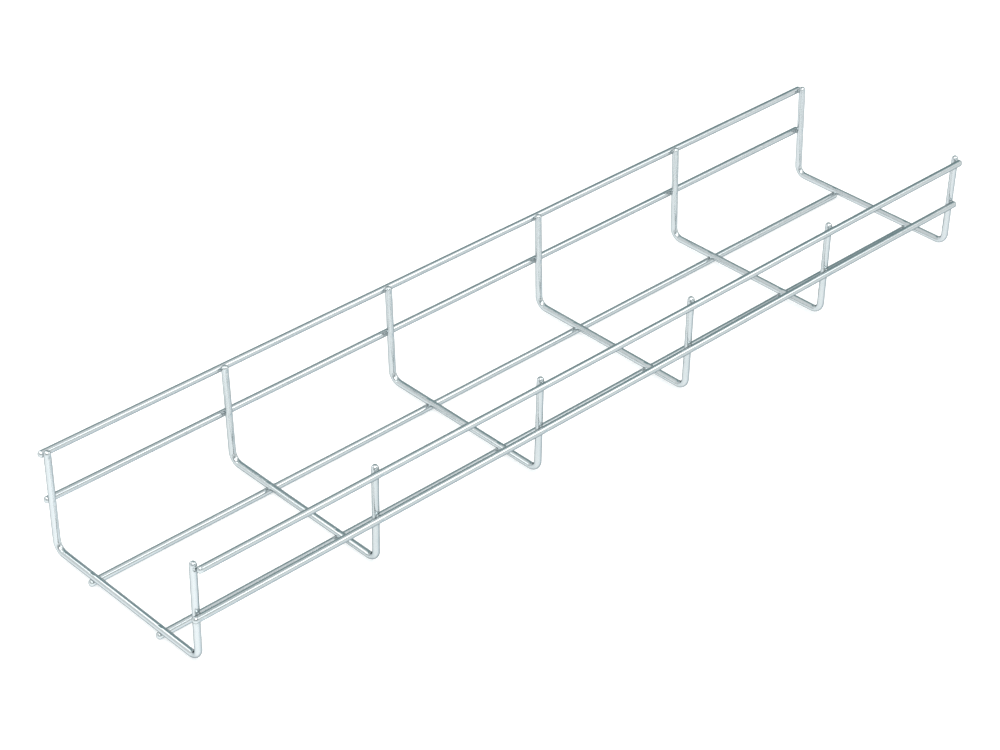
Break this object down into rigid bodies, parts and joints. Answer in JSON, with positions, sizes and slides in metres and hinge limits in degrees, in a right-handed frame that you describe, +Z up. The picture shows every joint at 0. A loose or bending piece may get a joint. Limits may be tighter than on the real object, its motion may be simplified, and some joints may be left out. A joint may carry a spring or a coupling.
{
  "type": "wire mesh cable tray",
  "caption": "Straight length of welded wire basket tray: U-shaped cross wires with straight rails along the outside, open at the top and ends, for carrying cables.",
  "frame": {"origin": "middle of the footprint, on the plane that the two bottom rails rest on", "axes": "+X along the tray's length, +Y towards the left wall, +Z up, out of the open top"},
  "size_m": [0.5034, 0.1172, 0.0588],
  "materials": {
    "cross_wire_1": "bright zinc-plated steel wire",
    "cross_wire_2": "bright zinc-plated steel wire",
    "cross_wire_3": "bright zinc-plated steel wire",
    "cross_wire_4": "bright zinc-plated steel wire",
    "cross_wire_5": "bright zinc-plated steel wire",
    "cross_wire_6": "bright zinc-plated steel wire",
    "left_top_rail": "bright zinc-plated steel wire",
    "left_middle_rail": "bright zinc-plated steel wire",
    "left_bottom_rail": "bright zinc-plated steel wire",
    "right_top_rail": "bright zinc-plated steel wire",
    "right_middle_rail": "bright zinc-plated steel wire",
    "right_bottom_rail": "bright zinc-plated steel wire",
    "weld_1_left_top": "weld metal under the same zinc plating, a little duller than the wire",
    "weld_2_left_top": "weld metal under the same zinc plating, a little duller than the wire",
    "weld_3_left_top": "weld metal under the same zinc plating, a little duller than the wire",
    "weld_4_left_top": "weld metal under the same zinc plating, a little duller than the wire",
    "weld_5_left_top": "weld metal under the same zinc plating, a little duller than the wire",
    "weld_6_left_top": "weld metal under the same zinc plating, a little duller than the wire",
    "weld_1_left_middle": "weld metal under the same zinc plating, a little duller than the wire",
    "weld_2_left_middle": "weld metal under the same zinc plating, a little duller than the wire",
    "weld_3_left_middle": "weld metal under the same zinc plating, a little duller than the wire",
    "weld_4_left_middle": "weld metal under the same zinc plating, a little duller than the wire",
    "weld_5_left_middle": "weld metal under the same zinc plating, a little duller than the wire",
    "weld_6_left_middle": "weld metal under the same zinc plating, a little duller than the wire",
    "weld_1_left_bottom": "weld metal under the same zinc plating, a little duller than the wire",
    "weld_2_left_bottom": "weld metal under the same zinc plating, a little duller than the wire",
    "weld_3_left_bottom": "weld metal under the same zinc plating, a little duller than the wire",
    "weld_4_left_bottom": "weld metal under the same zinc plating, a little duller than the wire",
    "weld_5_left_bottom": "weld metal under the same zinc plating, a little duller than the wire",
    "weld_6_left_bottom": "weld metal under the same zinc plating, a little duller than the wire",
    "weld_1_right_top": "weld metal under the same zinc plating, a little duller than the wire",
    "weld_2_right_top": "weld metal under the same zinc plating, a little duller than the wire",
    "weld_3_right_top": "weld metal under the same zinc plating, a little duller than the wire",
    "weld_4_right_top": "weld metal under the same zinc plating, a little duller than the wire",
    "weld_5_right_top": "weld metal under the same zinc plating, a little duller than the wire",
    "weld_6_right_top": "weld metal under the same zinc plating, a little duller than the wire",
    "weld_1_right_middle": "weld metal under the same zinc plating, a little duller than the wire",
    "weld_2_right_middle": "weld metal under the same zinc plating, a little duller than the wire",
    "weld_3_right_middle": "weld metal under the same zinc plating, a little duller than the wire",
    "weld_4_right_middle": "weld metal under the same zinc plating, a little duller than the wire",
    "weld_5_right_middle": "weld metal under the same zinc plating, a little duller than the wire",
    "weld_6_right_middle": "weld metal under the same zinc plating, a little duller than the wire",
    "weld_1_right_bottom": "weld metal under the same zinc plating, a little duller than the wire",
    "weld_2_right_bottom": "weld metal under the same zinc plating, a little duller than the wire",
    "weld_3_right_bottom": "weld metal under the same zinc plating, a little duller than the wire",
    "weld_4_right_bottom": "weld metal under the same zinc plating, a little duller than the wire",
    "weld_5_right_bottom": "weld metal under the same zinc plating, a little duller than the wire",
    "weld_6_right_bottom": "weld metal under the same zinc plating, a little duller than the wire"
  },
  "bodies": {
    "root": {"cross_wire_1": "cross_wire_1", "cross_wire_2": "cross_wire_2", "cross_wire_3": "cross_wire_3", "cross_wire_4": "cross_wire_4", "cross_wire_5": "cross_wire_5", "cross_wire_6": "cross_wire_6", "left_top_rail": "left_top_rail", "left_middle_rail": "left_middle_rail", "left_bottom_rail": "left_bottom_rail", "right_top_rail": "right_top_rail", "right_middle_rail": "right_middle_rail", "right_bottom_rail": "right_bottom_rail", "weld_1_left_top": "weld_1_left_top", "weld_2_left_top": "weld_2_left_top", "weld_3_left_top": "weld_3_left_top", "weld_4_left_top": "weld_4_left_top", "weld_5_left_top": "weld_5_left_top", "weld_6_left_top": "weld_6_left_top", "weld_1_left_middle": "weld_1_left_middle", "weld_2_left_middle": "weld_2_left_middle", "weld_3_left_middle": "weld_3_left_middle", "weld_4_left_middle": "weld_4_left_middle", "weld_5_left_middle": "weld_5_left_middle", "weld_6_left_middle": "weld_6_left_middle", "weld_1_left_bottom": "weld_1_left_bottom", "weld_2_left_bottom": "weld_2_left_bottom", "weld_3_left_bottom": "weld_3_left_bottom", "weld_4_left_bottom": "weld_4_left_bottom", "weld_5_left_bottom": "weld_5_left_bottom", "weld_6_left_bottom": "weld_6_left_bottom", "weld_1_right_top": "weld_1_right_top", "weld_2_right_top": "weld_2_right_top", "weld_3_right_top": "weld_3_right_top", "weld_4_right_top": "weld_4_right_top", "weld_5_right_top": "weld_5_right_top", "weld_6_right_top": "weld_6_right_top", "weld_1_right_middle": "weld_1_right_middle", "weld_2_right_middle": "weld_2_right_middle", "weld_3_right_middle": "weld_3_right_middle", "weld_4_right_middle": "weld_4_right_middle", "weld_5_right_middle": "weld_5_right_middle", "weld_6_right_middle": "weld_6_right_middle", "weld_1_right_bottom": "weld_1_right_bottom", "weld_2_right_bottom": "weld_2_right_bottom", "weld_3_right_bottom": "weld_3_right_bottom", "weld_4_right_bottom": "weld_4_right_bottom", "weld_5_right_bottom": "weld_5_right_bottom", "weld_6_right_bottom": "weld_6_right_bottom"}
  },
  "joints": []
}
